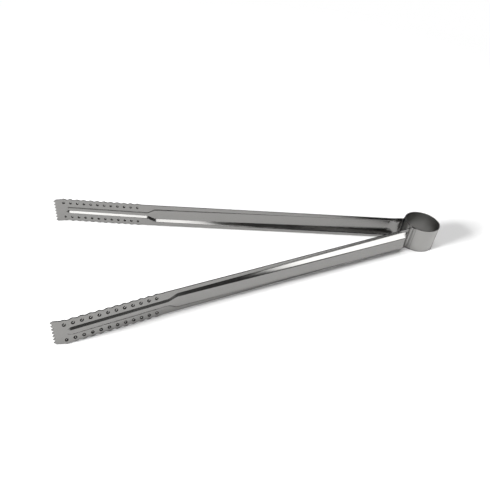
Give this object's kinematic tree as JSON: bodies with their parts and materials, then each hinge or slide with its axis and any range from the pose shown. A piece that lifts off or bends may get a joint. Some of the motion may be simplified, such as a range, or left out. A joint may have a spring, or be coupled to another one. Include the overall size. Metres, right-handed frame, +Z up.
{
  "type": "serving tongs",
  "caption": "Satin steel spring tongs: channelled arms on a ring spring, with ribbed, pierced, scallop-edged grips and toothed tips.",
  "frame": {"origin": "centre line of the ring's bore, at the ring strip's lower edge", "axes": "+Z up along the ring's axis with the tongs lying on edge, -X along the middle between the arms towards the tips, +Y towards the rear arm"},
  "size_m": [0.3395, 0.1464, 0.023],
  "materials": {
    "spring_strip": "satin stainless spring strip",
    "arm_sheet": "satin stainless pressed sheet"
  },
  "bodies": {
    "ring": {"spring_ring": "spring_strip"},
    "front": {"front_arm": "arm_sheet"},
    "rear": {"rear_arm": "arm_sheet"}
  },
  "joints": [
    {"name": "front_squeeze", "type": "hinge", "parent": "ring", "child": "front", "pos_m": [0, 0, 0], "axis": [0, 0, -1], "range_deg": [0, 12.3], "stiffness_Nm_per_rad": 5},
    {"name": "rear_squeeze", "type": "hinge", "parent": "ring", "child": "rear", "pos_m": [0, 0, 0], "axis": [0, 0, 1], "range_deg": [0, 12.3], "stiffness_Nm_per_rad": 5}
  ],
  "couplings": [
    {"joint": "rear_squeeze", "follows": "front_squeeze", "ratio": 1}
  ]
}
